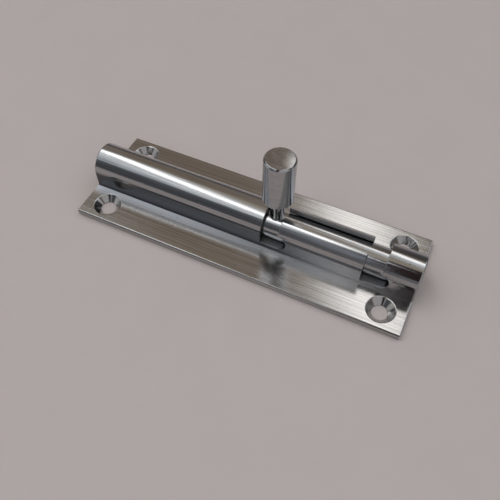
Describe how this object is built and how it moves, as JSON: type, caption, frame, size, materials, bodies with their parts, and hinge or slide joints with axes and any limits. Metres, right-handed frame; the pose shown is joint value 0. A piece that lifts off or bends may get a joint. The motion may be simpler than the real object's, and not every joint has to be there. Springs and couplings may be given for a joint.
{
  "type": "barrel bolt latch",
  "caption": "Surface-mounted barrel bolt: slotted barrel on a countersunk plate, round bolt that slides and turns, side knob that locks in end notches.",
  "frame": {"origin": "Centre of the plate's underside, the face that lies on the door.", "axes": "+X along the bolt, the way it is thrown; +Z out of the door, through the knob at rest; +Y across the plate."},
  "size_m": [0.1, 0.034, 0.0331],
  "materials": {
    "plate_and_barrel": "bright plated, brushed along its length on the plate and polished on the barrel",
    "bolt_rod": "polished bright plating",
    "friction_ring": "matt black rubber",
    "knob_shank": "polished bright plating",
    "knob_grip": "polished bright plating"
  },
  "bodies": {
    "housing": {"plate_and_barrel": "plate_and_barrel"},
    "slide_ring": {"friction_ring": "friction_ring"},
    "bolt": {"bolt_rod": "bolt_rod", "knob_shank": "knob_shank", "knob_grip": "knob_grip"}
  },
  "joints": [
    {"name": "bolt_slide", "type": "slide", "parent": "housing", "child": "slide_ring", "axis": [1, 0, 0], "range_m": [0, 0.0299]},
    {"name": "bolt_turn", "type": "hinge", "parent": "slide_ring", "child": "bolt", "pos_m": [0, 0, 0.00655], "axis": [-1, 0, 0], "range_deg": [-90, 90]}
  ]
}
